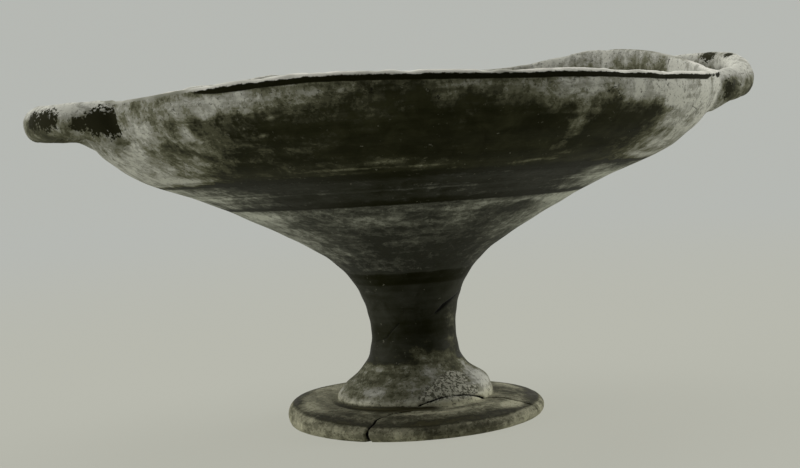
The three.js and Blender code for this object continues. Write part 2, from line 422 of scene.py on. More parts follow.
def radius_of(p):
    return np.hypot(p[:, 0], p[:, 1])


def sides(p):
    """Which face of the clay each point is on: inside of the bowl, underside of the foot, handle."""
    radius, level = radius_of(p), p[:, 2]
    inner = (level > FLOOR_Z - 0.5) & (radius < (outer_radius(level) + inner_radius(level)) / 2)
    middle_of_foot = (hollow_radius(level) + outer_radius(np.maximum(level, 8))) / 2
    under = (level < HOLLOW_BELOW_Z) & (radius < np.where(level < 0.3, RING_OUTER + 0.2, middle_of_foot))
    wall = np.where(level > 110, RIM_RADIUS, outer_radius(level))
    loop = smoothstep(radius - wall, 0.2, 1.6) * (level > HANDLES_ABOVE_Z)
    return inner, under, loop


def polar(*places):
    """Points from (direction, radius, level)."""
    return [(r * math.cos(math.radians(a)), r * math.sin(math.radians(a)), z) for a, r, z in places]


def along_wall(*places):
    """Points on the outside, above the foot's disc, from (direction, level)."""
    return polar(*[(a, float(outer_radius(z)), z) for a, z in places])


def patch(angle, run, at_angle, at_level, half_length, half_height):
    """1 in the middle of an oval patch of the outside and about 0.4 at its edge; its sizes are in mm."""
    sideways = np.radians(turn_from(angle, at_angle)) * outer_radius(at_level) / half_length
    upwards = (run - run_up(at_level)) / half_height
    return np.exp(-(sideways**2 + upwards**2) ** 1.5 * 0.8)


def fractal(p, size, octaves, seed):
    """Seeded noise about 0, with features of that size in millimetres."""
    q = p / size + np.array([seed * 17.3, seed * 5.1, seed * 9.7])
    return np.array([noise.fractal(Vector(v), 1.0, 2.0, octaves) for v in q])


# ---------------- cracks, grooves and other relief
# Cracks and the joints of glued breaks: the line, then the groove's half width at its two ends, and its depth
CRACKS = [
    # the sherd of the foot: its wide end at the front, over the arris, up on to the stem's base and out again
    (polar((-123.6, 43.6, 0), (-123.7, 44.6, 0.7), (-124.2, 45.1, 3), (-123.4, 42.6, 5), (-123.2, 39.9, 5.6)),
     (0.75, 0.5), (1.5, 1)),
    (polar((-123.2, 39.9, 5.6), (-123.6, 37.6, 6.1), (-122.4, 35.7, 6.5), (-116.1, 31.6, 7.1),
           (-106.3, 29.3, 7.3)), (0.55, 0.55), (0.9, 0.8)),
    (polar((-106.3, 29.3, 7.3), (-99.3, 27.4, 8.7), (-91.2, 27, 9.8), (-83.1, 26.5, 10.6),
           (-66.4, 26.6, 10.5), (-59.1, 26.9, 10), (-50.6, 27.4, 8.8), (-43.7, 27.5, 7.6)),
     (0.34, 0.42), (0.7, 0.8)),
    (polar((-43.7, 27.5, 7.6), (-38.6, 29.7, 7.2), (-35.6, 32.6, 6.9), (-35.3, 36.2, 6.4), (-34.5, 39.6, 5.7),
           (-35.3, 42.6, 5)), (0.5, 0.45), (0.7, 0.6)),
    (polar((-35.3, 42.6, 5), (-34.8, 44.9, 3.4), (-34.4, 44.9, 1.4), (-36, 43.6, 0)), (0.3, 0.4), (0.5, 0.7)),
    # the same joint on the foot's underside
    (polar((-123.6, 43.6, 0), (-122, 37, 0), (-118, 31, 2.6), (-104, 26, 3.6), (-80, 24, 3.9), (-55, 27, 3.4),
           (-40, 33, 2.3), (-36, 37, 0), (-36, 43.6, 0)), (0.4, 0.35), (0.6, 0.6)),
    # the glued break round the stem, open on the right and fine at the back
    (polar((-74, 15.4, 37), (-68, 15.7, 37.9), (-60, 16.1, 39.2)), (0.2, 0.75), (0.4, 1.1)),
    (polar((-60, 16.1, 39.2), (-52, 16.4, 40.3), (-44, 16.8, 41.3), (-34, 17.1, 42.8), (-22, 17.6, 44.4)),
     (0.75, 0.5), (1.1, 0.8)),
    (polar((-169, 15, 27.6), (-158, 15, 28.4), (-142, 15, 29.4), (-131, 15, 32.2), (-121, 15.1, 34.5),
           (-99, 15.2, 35.5), (-74, 15.4, 37)), (0.14, 0.2), (0.14, 0.3)),
    (polar((-22, 17.6, 44.4), (0, 17.8, 45), (30, 17.4, 43.6), (62, 16.5, 40.6), (95, 15.9, 38),
           (130, 15.3, 33.6), (160, 15, 29.4), (191, 15, 27.6)), (0.4, 0.22), (0.6, 0.25)),
    # fine cracks in the wall on the right
    (along_wall((-42, 103.2), (-38.6, 102.2), (-36.6, 100.4), (-35, 98.6), (-35.2, 96.8)),
     (0.14, 0.2), (0.15, 0.25)),
    (along_wall((-44.6, 99.4), (-43.6, 97.4), (-39.6, 95), (-36, 92.6), (-38.6, 90.6), (-41.6, 89.6)),
     (0.14, 0.14), (0.18, 0.15)),
    (along_wall((-67.7, 107.3), (-66.1, 109.4), (-65.2, 107.6), (-64, 105.2)), (0.13, 0.18), (0.12, 0.2)),
    (along_wall((-53.6, 113.8), (-53.4, 111.6), (-53, 109.4)), (0.14, 0.12), (0.2, 0.12)),
    # the crack down the inside of the far wall
    (polar((7, 108.6, 114.9), (7, 106.9, 114), (7.6, 106.7, 111), (6.8, 106.2, 108), (8.4, 104.9, 104)),
     (0.34, 0.25), (0.5, 0.3)),
]

# Shallow flakes: direction, level, half length, half height and depth in mm
FLAKES = [
    (-139.2, 102.2, 2.4, 3.2, 0.35), (-88, 110, 5, 1.6, 0.2), (46, 104, 3, 2, 0.3), (118, 98, 4, 2.4, 0.3),
    (-60, 4.2, 3, 1.4, 0.4),
]


def distance_to(p, line):
    """How far each point is from a polyline, and how far along it the nearest place is, from 0 to 1."""
    reach = 8
    line = np.array(line, float)
    near = np.full(len(p), 1e9)
    where = np.zeros(len(p))
    low, high = line.min(0) - reach, line.max(0) + reach
    close = np.all((p > low) & (p < high), axis=1)
    q = p[close]
    best, at = np.full(len(q), 1e9), np.zeros(len(q))
    for i in range(len(line) - 1):
        a, b = line[i], line[i + 1]
        s = np.clip(((q - a) @ (b - a)) / max((b - a) @ (b - a), 1e-9), 0, 1)
        d = np.linalg.norm(q - a - s[:, None] * (b - a), axis=1)
        nearer = d < best
        best[nearer], at[nearer] = d[nearer], (i + s[nearer]) / (len(line) - 1)
    near[close], where[close] = best, at
    return near, where


def refine(obj):
    """Splits the long edges near the cracks, so that the grooves have corners to stand on."""
    with edited(obj.data) as bm:
        for _ in range(SPLITS_AT_CRACK):
            p = np.array([v.co for v in bm.verts])
            near = np.min([distance_to(p, line)[0] for line, _, _ in CRACKS], axis=0) < FINE_NEAR_CRACK
            bm.verts.ensure_lookup_table()
            edges = [e for e in bm.edges
                     if all(near[v.index] for v in e.verts) and e.calc_length() > LONGEST_AT_CRACK]
            bmesh.ops.subdivide_edges(bm, edges=edges, cuts=1, use_grid_fill=True)
            bmesh.ops.triangulate(bm, faces=[f for f in bm.faces if len(f.verts) > 4])
            bm.verts.index_update()


def grooves(p):
    """How far each point is inside a groove, from 0 to 1, and how deep that groove is there."""
    share, deep = np.zeros(len(p)), np.zeros(len(p))
    for line, (half_start, half_end), (depth_start, depth_end) in CRACKS:
        d, at = distance_to(p, line)
        half = half_start + (half_end - half_start) * at
        inside = smoothstep(half - d, -half * 0.55, half * 0.8)
        more = inside > share
        share = np.where(more, inside, share)
        deep = np.where(more, depth_start + (depth_end - depth_start) * at, deep)
    return share, deep


def relief(p):
    """How far each point of the surface stands out of the smooth cup, in millimetres."""
    angle, level = direction_of(p), p[:, 2]
    inner, under, loop = sides(p)
    swells, grain, wheel_marks, coil_lumps, lip_nicks, lip_waves = 0.18, 0.05, 0.07, 0.3, 0.9, 0.10
    out = swells * fractal(p, size=34, octaves=2, seed=1) + grain * fractal(p, size=5, octaves=3, seed=2)
    wheel = np.sin(level * 1.05 + 1.4 * fractal(p * [0.3, 0.3, 1], size=30, octaves=2, seed=3))
    out = out + wheel_marks * wheel * (1 - loop) * (radius_of(p) > 12)
    out = out + loop * coil_lumps * fractal(p, size=9, octaves=3, seed=4)
    nicks = np.minimum(fractal(p, size=5.5, octaves=3, seed=14) + 0.05, 0)
    out = out + lip_nicks * nicks * smoothstep(level, 112.4, 114.2) * (1 - loop)
    out = out + lip_waves * fractal(p, size=14, octaves=2, seed=15) * smoothstep(level, 108, 114)
    for *place_and_size, depth in FLAKES:
        spot = patch(angle, run_up(level), *place_and_size)
        out = out - depth * smoothstep(spot, 0.45, 0.6) * ~inner * (1 - loop)
    open_share, depth = grooves(p)
    out = out - open_share * depth
    resting = (level < 0.3) & under
    return np.where(resting, np.minimum(out, 0), out)


# ---------------- wear, with painted light and shade, from 0, sound slip, to 1, clean clay
# How worn each zone of the outside is at the front and back, by level, and how much paler it is near the
# handles, partly from wear and partly as painted light falling from the sides
WORN_BY_LEVEL = [
    (0, 0.7), (3.4, 0.7), (4.4, 0.68), (4.9, 0.64), (7.2, 0.67), (8, 0.75), (11, 0.73), (14, 0.66),
    (17, 0.63), (20.2, 0.6), (21.2, 0.24), (30, 0.14), (46, 0.2), (47.5, 0.06), (52, 0.08), (53.5, 0.38),
    (60, 0.4), (68, 0.44), (72, 0.46), (76.5, 0.46), (77.5, 0.26), (82, 0.3), (86.5, 0.27), (88, 0.27),
    (92, 0.22), (101, 0.26), (105, 0.42), (108, 0.56), (112, 0.58), (115, 0.58),
]
WORN_AND_LIT_AT_ENDS = [
    (20, 0.05), (46, 0.06), (54, 0.12), (62, 0.2), (68, 0.26), (73, 0.3), (77, 0.32), (79, 0.5),
    (86, 0.5), (89, 0.62), (103, 0.6), (109, 0.34), (112, 0.28),
]
LEAST_WORN_AND_LIT_TOWARDS = -98  # this side and the one opposite have none of the paler ends, neither the wear nor the painted light
BACK_TOWARDS = 78

# Patches: direction, level, half length round the cup, half height along the wall, how much more worn (two at
# the stem's base are painted shadow instead)
PATCHES = [
    # the pale worn zone below the rim
    (-136, 109.2, 16, 3, 0.16), (-127, 109.4, 14, 3, 0.16), (-119, 108.6, 6, 3.4, 0.06),
    (-112, 109.8, 8, 2.6, 0.1), (-105, 108, 5, 4.2, -0.22), (-98, 108, 8, 4.4, -0.24),
    (-88, 110, 10, 2.6, 0.2), (-122, 105.6, 8, 2.6, 0.06), (-91.2, 106.6, 3.4, 2.2, -0.3),
    (-88, 108, 2.6, 2, -0.2), (-80.5, 108.6, 3, 3, -0.14), (-74, 108.6, 14, 4, 0.3),
    (-67.5, 106.4, 4.5, 3, -0.14), (-60, 108.8, 12, 4.2, 0.32), (-49, 107.4, 12, 5, 0.26),
    # the broad dark zone under it
    (-103, 97, 24, 8, -0.12), (-84, 101, 9, 5, -0.2), (-80, 95, 15, 7, -0.24), (-63, 96, 8, 5, -0.24),
    (-132, 96, 18, 9, 0.12), (-55, 100, 8, 5, -0.1), (-59, 89.5, 10, 3, -0.08),
    (-135, 89.6, 12, 1.6, -0.1),
    # a paler slanting stroke through it, and scattered flakes
    (-70.5, 101.2, 4.5, 4.5, 0.24), (-71.5, 96.4, 3.2, 4.5, 0.32), (-72.4, 92.8, 3.4, 2.6, 0.32),
    (-68.6, 105, 4.5, 3.5, 0.16), (-139.2, 102.2, 2.2, 3, 0.5), (-137.2, 99.8, 1.8, 1.6, 0.3),
    (-122, 104, 1.6, 0.9, 0.4), (-125, 99.2, 1.8, 0.6, 0.4), (-133, 106.5, 2.2, 1, 0.3),
    (-119.5, 102.6, 3, 0.6, 0.34), (-118.6, 101.6, 1.6, 0.6, 0.3), (-148, 104, 6, 4, 0.1),
    (-157, 96, 8, 5, 0.16), (-154, 88.4, 12, 1.6, 0.24), (-146, 88, 6, 1, 0.26),
    (-166, 91, 12, 6, 0.06), (-160, 101, 16, 12, -0.08),
    # thin streaks above the painted ring
    (-111, 88.4, 13, 0.8, 0.3), (-106, 89.8, 9, 0.8, 0.26), (-100, 90.6, 7, 0.8, 0.24),
    (-97, 88.2, 6, 0.7, 0.3), (-73, 88.4, 7, 1, 0.34), (-80, 88, 6, 0.5, 0.24),
    (-70.5, 90.2, 4, 0.8, 0.28),
    # right end of the bowl
    (-44, 91.4, 9, 3.2, 0.2), (-47, 88.4, 8, 1.6, 0.2), (-38, 88, 7, 1.2, 0.2),
    (-50, 93.5, 5, 1.6, 0.12), (-33, 106, 14, 7, 0.3), (-146, 93, 9, 5, 0.14), (-50, 84, 8, 3, 0.18),
    (-40, 99, 6, 1, -0.1), (-36, 96, 8, 6, 0.14), (-53, 103.2, 7, 2.2, -0.04), (-46, 99, 8, 4, 0.12),
    (-52, 96, 7, 5, 0.08), (-168, 84, 12, 5, 0.1), (-30, 82, 12, 5, 0.16), (-47, 82, 10, 3, 0.08),
    (-60, 106, 6, 2, 0.1),
    # below the painted ring
    (-158, 74.6, 22, 2.6, 0.11), (-146, 75.6, 7, 1.2, 0.12), (-131, 75.4, 9, 1.4, 0.16),
    (-122, 72.4, 7, 3.2, 0.14), (-111, 72, 6, 2.6, 0.14), (-114, 69.8, 8, 1, 0.12), (-98, 74, 7, 3, 0),
    (-83, 74.5, 9, 2.2, 0.14), (-66, 75.4, 14, 1.2, 0.24), (-60, 72.6, 8, 2.2, -0.1),
    (-38, 75.4, 16, 2.4, 0.24), (-137, 72.6, 7, 2, -0.1), (-172, 62, 12, 6, 0.1),
    # stem and its base
    (-42, 36.4, 4, 2.4, 0.24), (-36, 32, 4, 2, 0.24), (-40, 27, 5, 2, 0.2), (-50, 23, 4, 3, 0.26),
    (-72, 22.6, 6, 2, 0.22), (-92, 24.4, 6, 2.4, 0.2), (-105, 22.4, 7, 1.6, 0.2),
    (-92, 27.8, 4, 1.2, 0.16), (-60, 26, 4, 1, -0.2), (-150, 33.5, 7, 7, -0.2), (-145, 15, 9, 4, -0.1),
    (-137, 13.2, 5, 2, 0.2), (-125, 18, 9, 2, -0.06), (-33, 15, 5, 5, 0.3), (-31, 10.5, 6, 3.4, 0.2),
    # the first two are painted shadow in the crease where the stem's base meets the disc
    (-135, 7.6, 24, 0.7, -0.5), (-110, 7.5, 9, 0.7, -0.5), (-50, 18, 7, 3, -0.08),
    (-112, 12, 6, 2.4, -0.08), (-95, 15, 7, 3.4, 0.04), (-75, 17.5, 8, 2, 0.14), (-60, 19, 5, 1.6, -0.1),
    (-100, 10.4, 12, 1.4, 0.1),
    # the foot's disc
    (-172, 5.8, 10, 4, 0.26), (-92, 8.8, 6, 1.2, 0.1), (-72, 9, 9, 1.6, 0.2), (-44, 6, 6, 2.6, 0.26),
    (-37, 5.5, 6, 2.4, 0.1), (-112, 6.4, 4, 1.6, -0.14), (-80, 5.6, 10, 2, -0.2),
    (-58, 5.4, 4, 1.8, -0.2), (-134, 6.4, 10, 2.4, -0.1), (-88, 6.9, 10, 1.6, 0.08),
    (-68, 6.9, 12, 2.4, 0.16), (-70, 8.6, 10, 1.8, 0.36), (-52, 8.2, 7, 1.6, 0.16),
    (-128, 9.2, 10, 1.4, 0.12), (-106, 6.9, 7, 1.4, 0.12), (-100, 5.6, 3, 2, -0.1),
    (-75, 2.5, 14, 2, -0.12), (-108, 2.5, 6, 2, 0.1), (-60, 2.6, 8, 2, 0.1),
]

# Left-over black slip on the handles: middle, half sizes along X, Y and Z
BLACK = [
    ((-121.5, -29.5, 110.6), (7.6, 8.4, 5)), ((-118.6, -33.4, 110.8), (3.4, 3.6, 4)),
    ((-125.6, -23, 111), (4.6, 7.6, 4.6)), ((-106, -44, 108.7), (7.6, 6, 6.4)),
    ((-101.4, -45, 108.2), (4.6, 5, 7.4)), ((-112, -40.6, 108.6), (5.6, 4.6, 3.8)),
    ((119.4, 9, 115.6), (5, 9, 3.2)), ((122.8, -4, 116.8), (2.4, 4, 2.2)),
    ((105.6, -42.2, 107.6), (4.8, 4.2, 5)), ((-121, 31, 112.6), (5, 5, 3.4)),
    ((-103, 44.6, 108), (6, 5, 5)), ((104.6, 42.4, 106.5), (5.6, 4.6, 5)),
]
BOWL_FRONT_FROM = -155  # right of this direction, the black is on no part of the left handle

# Brown stains on the right handle, and painted shade over the top of its loop: middle, half sizes along X, Y
# and Z
STAINS_AND_SHADE = [
    ((120, -33, 110.6), (9, 8, 3.6)), ((108.6, -38.2, 114.2), (7, 7, 5)), ((124.5, -20, 112), (6, 9, 6)),
    ((119.4, 9, 115.6), (8, 14, 6)), ((105.6, -42.2, 107), (8, 7, 8)), ((118, -28, 105), (9, 10, 4)),
    # painted shade over the top of the right loop, where the light from the right falls strongest
    ((119, -14, 117.5), (9, 13, 5)),
]
STAIN_AND_SHADE_DEPTH = 0.10

# Pale crust: direction, level, half length and half height in mm
CRUST = [(-76, 12.6, 9, 3.8), (-60, 11.4, 6, 3.0), (-64, 15.6, 6, 3.0), (-91, 10.8, 5, 1.6)]


def by_level(level, table):
    levels, values = zip(*table)
    return np.interp(level, levels, values)


def inside_oval(p, middle, half_sizes):
    """1 in the middle of an egg-shaped place, 0 on its surface, and less outside it."""
    return 1 - np.linalg.norm((p - middle) / half_sizes, axis=1)


def wear_and_painted_light_outside(p):
    """Worn by zones and in patches, paler towards the handles from wear and painted light, and unevenly over
    the back; two patches are painted shadow at the stem's base.
    """
    uneven_ends, uneven_back, uneven_all = 9, 0.34, 0.06
    angle, level = direction_of(p), p[:, 2]
    run = run_up(level)
    paleness = by_level(level, WORN_BY_LEVEL)
    for *place_and_size, more in PATCHES:
        paleness = paleness + more * patch(angle, run, *place_and_size)
    aside = np.abs((angle - LEAST_WORN_AND_LIT_TOWARDS + 90) % 180 - 90)
    aside = aside + uneven_ends * fractal(p, size=22, octaves=3, seed=12)
    # paler towards the handles: partly wear, partly painted light from the sides
    paleness = paleness + by_level(level, WORN_AND_LIT_AT_ENDS) * smoothstep(aside, 32, 64)
    back = smoothstep(np.abs(turn_from(angle, BACK_TOWARDS)), 118, 80)
    paleness = paleness + back * uneven_back * fractal(p * [1, 1, 1.8], size=26, octaves=3, seed=6)
    return paleness + uneven_all * fractal(p, size=20, octaves=2, seed=7)


def wear_inside(p):
    """Worn half through, more towards the lip, and most near the right handle."""
    usual, uneven, towards_lip, at_lip, at_right = 0.55, 0.24, 0.14, 0.22, 0.32
    angle, level = direction_of(p), p[:, 2]
    paleness = usual + uneven * fractal(p, size=30, octaves=3, seed=8) + towards_lip * smoothstep(level, 104, 112)
    paleness = paleness + at_lip * smoothstep(level, 111, 114)
    right = smoothstep(angle, 12, 2) * smoothstep(angle, -60, -20)
    return paleness + at_right * right * smoothstep(level, 100, 106)


def wear_and_painted_light_on_coil(p):
    """The handles are paler on top as a painted highlight, paler low on the roots as painted light and darker
    under the tips as painted shade; the right one is stained in places and has painted shade over its top.
    """
    usual, highlight_on_top, uneven, painted_light_near_wall, shade_under_tip = 0.66, 0.32, 0.1, 0.14, 0.06
    radius, level = radius_of(p), p[:, 2]
    # paler on top: painted highlight; paler low on the roots by the wall: painted light; darker under the
    # tips: painted shade
    paleness = usual + highlight_on_top * smoothstep(level, 110, 113.5) + uneven * fractal(p, size=7, octaves=2, seed=5)
    paleness = paleness + painted_light_near_wall * smoothstep(radius, 117, 111) * smoothstep(level, 109, 106)
    paleness = paleness - shade_under_tip * smoothstep(level, 107.5, 104.5) * smoothstep(radius, 113, 118)
    ragged = 0.5 * fractal(p, size=5, octaves=3, seed=21)
    for middle, half_sizes in STAINS_AND_SHADE:
        paleness = paleness - STAIN_AND_SHADE_DEPTH * smoothstep(inside_oval(p, middle, half_sizes) + ragged, 0.0, 0.6)
    return paleness


# wear together with painted light and shade: the handles' highlight, light and shade, the paler ends of the
# bowl and the shadow at the stem's base
def wear_and_painted_light(p):
    inner, under, loop = sides(p)
    paleness = np.where(inner, wear_inside(p), wear_and_painted_light_outside(p))
    paleness = np.where(under, 0.66 + 0.2 * fractal(p, size=14, octaves=2, seed=9), paleness)
    return np.clip(paleness * (1 - loop) + wear_and_painted_light_on_coil(p) * loop, 0, 1)


def lip_band(p):
    """The black band that's left below the lip: whole at the front, in pieces elsewhere."""
    angle = direction_of(p)
    inner, _, loop = sides(p)
    front = smoothstep(angle, -143, -128) * smoothstep(angle, -33, -37)
    elsewhere = 0.66 + 0.5 * fractal(p * [1, 1, 0.2], size=12, octaves=3, seed=11)
    elsewhere = elsewhere - 0.5 * smoothstep(-np.abs(angle + 156), -28, -16)
    return np.clip(np.maximum(front, elsewhere) * ~inner * (1 - loop), 0, 1)


def lip_bare(p):
    """How clean the lip is rubbed: stained only near the left handle and where the rim is raised."""
    angle = direction_of(p)
    clean = smoothstep(np.abs(angle + 150), 8, 20) * (1 - 0.7 * smoothstep(-np.abs(angle - 30), -34, -24))
    return np.clip(clean + 0.6 * fractal(p, size=12, octaves=3, seed=13), 0, 1)


def black(p):
    """Where black slip is left on the handles: 1 in the middle of a patch, 0.5 at its edge."""
    best = np.full(len(p), -1.0)
    for middle, half_sizes in BLACK:
        best = np.maximum(best, inside_oval(p, middle, half_sizes))
    best[(direction_of(p) > BOWL_FRONT_FROM) & (p[:, 0] < 0) & (p[:, 1] < 0)] = -1
    return np.clip(best * 0.5 + 0.5, 0, 1)


def crust(p):
    angle, run = direction_of(p), run_up(p[:, 2])
    inner, under, loop = sides(p)
    best = np.zeros(len(p))
    for place_and_size in CRUST:
        best = np.maximum(best, patch(angle, run, *place_and_size))
    return best * ~inner * ~under * (1 - loop)


# ---------------- the cup as it is seen
def mark(mesh, name, values):
    """Gives every corner of the mesh a number that the material reads by this name."""
    layer = mesh.attributes.new(name, "FLOAT", "POINT")
    layer.data.foreach_set("value", np.asarray(values, np.float32))


def roughened(mesh, true):
    """The corners of the distorted mesh, moved out or in by the relief, and none below the ground."""
    normal = np.zeros(len(true) * 3)
    mesh.vertices.foreach_get("normal", normal)
    moved = points_of(mesh) + normal.reshape(-1, 3) * relief(true)[:, None]
    moved[:, 2] = np.maximum(moved[:, 2], 0)
    return moved


def build_cup():
    cup = true_cup()
    refine(cup)
    mesh = cup.data
    true = points_of(mesh)
    mesh.vertices.foreach_set("co", distorted(true).ravel())
    mesh.update()
    mesh.vertices.foreach_set("co", (roughened(mesh, true) / 1000).ravel())
    mesh.update()
    mesh.polygons.foreach_set("use_smooth", [True] * len(mesh.polygons))
    inner, _, loop = sides(true)
    # the paleness the material reads carries wear together with painted light and shade
    marks = {"level": true[:, 2], "inner": inner, "loop": loop, "wear_and_painted_light": wear_and_painted_light(true), "band": lip_band(true),
             "bare": lip_bare(true), "black": black(true), "crust": crust(true), "crack": grooves(true)[0]}
    for name, values in marks.items():
        mark(mesh, name, values)
    return cup


# ---------------- shader nodes
class Net:
    """Short names for shader nodes."""

    def __init__(self, tree):
        self.tree = tree

    def connect(self, value, socket):
        """Links a socket to another, or sets it to a plain value."""
        if isinstance(value, bpy.types.NodeSocket):
            self.tree.links.new(value, socket)
        else:
            socket.default_value = value

    def node(self, kind, inputs=(), **settings):
        node = self.tree.nodes.new("ShaderNode" + kind)
        for key, value in settings.items():
            setattr(node, key, value)
        for key, value in dict(inputs).items():
            self.connect(value, node.inputs[key])
        return node

    def marked(self, name):
        """The number that the mesh's corners carry by this name."""
        return self.node("Attribute", attribute_name=name).outputs["Fac"]

    def maths(self, operation, a, b=0.0, c=0.0):
        return self.node("Math", {0: a, 1: b, 2: c}, operation=operation).outputs[0]

    def add(self, a, b):
        return self.maths("ADD", a, b)

    def times(self, a, b):
        return self.maths("MULTIPLY", a, b)

    def opposite(self, share):
        return self.maths("SUBTRACT", 1.0, share)

    def swing(self, share, amount):
        """A number from 0 to 1, moved to lie about 0 and made that many times as strong."""
        return self.times(self.add(share, -0.5), amount)

    def ragged(self, value, share, amount):
        """The value, made uneven by a noise of that strength."""
        return self.add(value, self.swing(share, amount))

    def noise(self, vector, scale, detail, rough, bend=0.0):
        inputs = {"Vector": vector, "Scale": scale, "Detail": detail, "Roughness": rough, "Distortion": bend}
        return self.node("TexNoise", inputs).outputs["Fac"]

    def stretch(self, vector, x, y, z, shift=0.0):
        inputs = {"Vector": vector, "Scale": (x, y, z), "Location": (shift, shift, shift)}
        return self.node("Mapping", inputs).outputs[0]

    def bent(self, vector, scale, amount):
        """The place, moved a little at random, to bend round spots out of true."""
        colour = self.node("TexNoise", {"Vector": vector, "Scale": scale, "Detail": 2.0}).outputs["Color"]
        shift = self.node("VectorMath", {0: colour, 1: (amount,) * 3}, operation="MULTIPLY").outputs[0]
        return self.node("VectorMath", {0: vector, 1: shift}, operation="ADD").outputs[0]

    def spots(self, vector, scale, largest):
        """1 in scattered round spots, of which the largest is that share of a cell."""
        cells = self.node("TexVoronoi", {"Vector": vector, "Scale": scale})
        chance = self.node("SeparateColor", {0: cells.outputs["Color"]}).outputs[0]
        size = self.span(chance, 0.9, 1.0, 0.0, largest, smooth=False)
        return self.maths("LESS_THAN", cells.outputs["Distance"], size)

    def span(self, value, low, high, to_low=0.0, to_high=1.0, smooth=True):
        inputs = {"Value": value, "From Min": low, "From Max": high, "To Min": to_low, "To Max": to_high}
        kind = "SMOOTHSTEP" if smooth else "LINEAR"
        return self.node("MapRange", inputs, interpolation_type=kind).outputs[0]

    def blend(self, share, a, b, kind="MIX"):
        return self.node("Mix", {0: share, 6: a, 7: b}, data_type="RGBA", blend_type=kind).outputs[2]

    def steps(self, value, stops):
        """Greys by value; each stop is (place, grey)."""
        node = self.node("ValToRGB", {"Fac": value})
        ramp = node.color_ramp
        while len(ramp.elements) < len(stops):
            ramp.elements.new(0.5)
        for element, (place, grey) in zip(ramp.elements, stops):
            element.position = place
            element.color = (grey, grey, grey, 1)
        return node.outputs["Color"]


# ---------------- the clay's material
# How dark the slip was painted, by level: 0 is black, 1 the thinnest wash
PAINT = [
    (0, 0.6), (20.2, 0.6), (21.2, 0.4), (28, 0.3), (32, 0.22), (38, 0.4), (46.8, 0.45), (48, 0.4),
    (48.5, 0.1), (49.7, 0.1), (50.1, 0.3), (50.5, 0.1), (52, 0.1), (52.6, 0.66), (69, 0.7), (76.3, 0.76),
    (76.9, 0), (78.2, 0.12), (79, 0.4), (81.2, 0.36), (81.5, 0.7), (81.9, 0.36), (84.6, 0.44),
    (85.6, 0), (86.6, 0.02), (87.6, 0.4), (92, 0.26), (100, 0.26), (108, 0.5), (115, 0.5),
]

# Fine turned lines, by level: above 0.5 the line is paler than its surroundings, below it darker
LINES = [
    (0, 0.5), (4.7, 0.5), (5.05, 0.05), (5.3, 0.1), (5.6, 0.5), (47.6, 0.5), (48.2, 0.2), (49.8, 0.2),
    (50.1, 0.42), (50.5, 0.2), (52, 0.2), (52.6, 0.5), (76.6, 0.6), (76.9, 0), (77.7, 0.1), (78, 0.5),
    (79.3, 0.5), (79.5, 0.3), (80.1, 0.5), (81.3, 0.5), (81.5, 0.86), (81.75, 0.3), (82.4, 0.66),
    (82.7, 0.44), (84.3, 0.5), (85.9, 0.5), (86.05, 0), (86.6, 0.1), (86.8, 0.55), (115, 0.5),
]
RAMP_TOP = 116  # the level at the far end of both, just above the lip

# Albedo by wear and painted light and shade, in uneven steps: sound slip, thin slip, stained clay, clean clay
TONES = [
    (0, 0.01), (0.26, 0.014), (0.36, 0.03), (0.44, 0.042), (0.5, 0.068), (0.58, 0.088), (0.62, 0.13),
    (0.7, 0.165), (0.75, 0.24), (0.86, 0.31), (1, 0.5),
]
HUE_OF_SLIP = (1.0, 0.99, 0.58, 1)
HUE_OF_CLAY = (1.0, 0.995, 0.86, 1)
HUE_OF_LOWER_BOWL = (0.98, 1.0, 0.84, 1)
HUE_OF_FOOT = (1.0, 0.965, 0.64, 1)

# Colours of the slip and of what lies on it
THICK_SLIP = (0.010, 0.0102, 0.0030, 1)
THIN_SLIP = (0.046, 0.046, 0.022, 1)
THIN_SLIP_BELOW = (0.046, 0.047, 0.036, 1)
FOOT_SLIP = (0.055, 0.050, 0.024, 1)
INSIDE_SLIP = (0.05, 0.049, 0.034, 1)
INSIDE_SLIP_PALE = (0.12, 0.117, 0.084, 1)
DARK_FLECK = (0.030, 0.028, 0.016, 1)
PALE_FLECK = (0.16, 0.157, 0.12, 1)
BAND_BLACK = (0.0090, 0.0088, 0.0028, 1)
LIP_CLAY = (0.50, 0.49, 0.42, 1)
LIP_CLAY_PALE = (0.66, 0.65, 0.58, 1)
LIP_STAINED = (0.20, 0.20, 0.155, 1)
HANDLE_BLACK = (0.021, 0.0205, 0.010, 1)
CRUST_DARK = (0.085, 0.083, 0.058, 1)
CRUST_PALE = (0.44, 0.435, 0.35, 1)
SPECK = (0.34, 0.335, 0.27, 1)
PIT = (0.012, 0.011, 0.008, 1)
CRACK_DIRT = (0.006, 0.006, 0.005, 1)

# Gloss
ROUGH_SLIP, ROUGH_CLAY = 0.50, 0.85
SPECULAR = 0.035
SPECULAR_TINT = (1.0, 1.0, 0.72, 1)

# Relief in the material, in mm
WHEEL_DEPTH, BRUSH_DEPTH, GRAIN_DEPTH = 0.06, 0.03, 0.035
SLIP_THICKNESS, CRUST_HEIGHT, PIT_DEPTH = 0.06, 0.45, 0.12


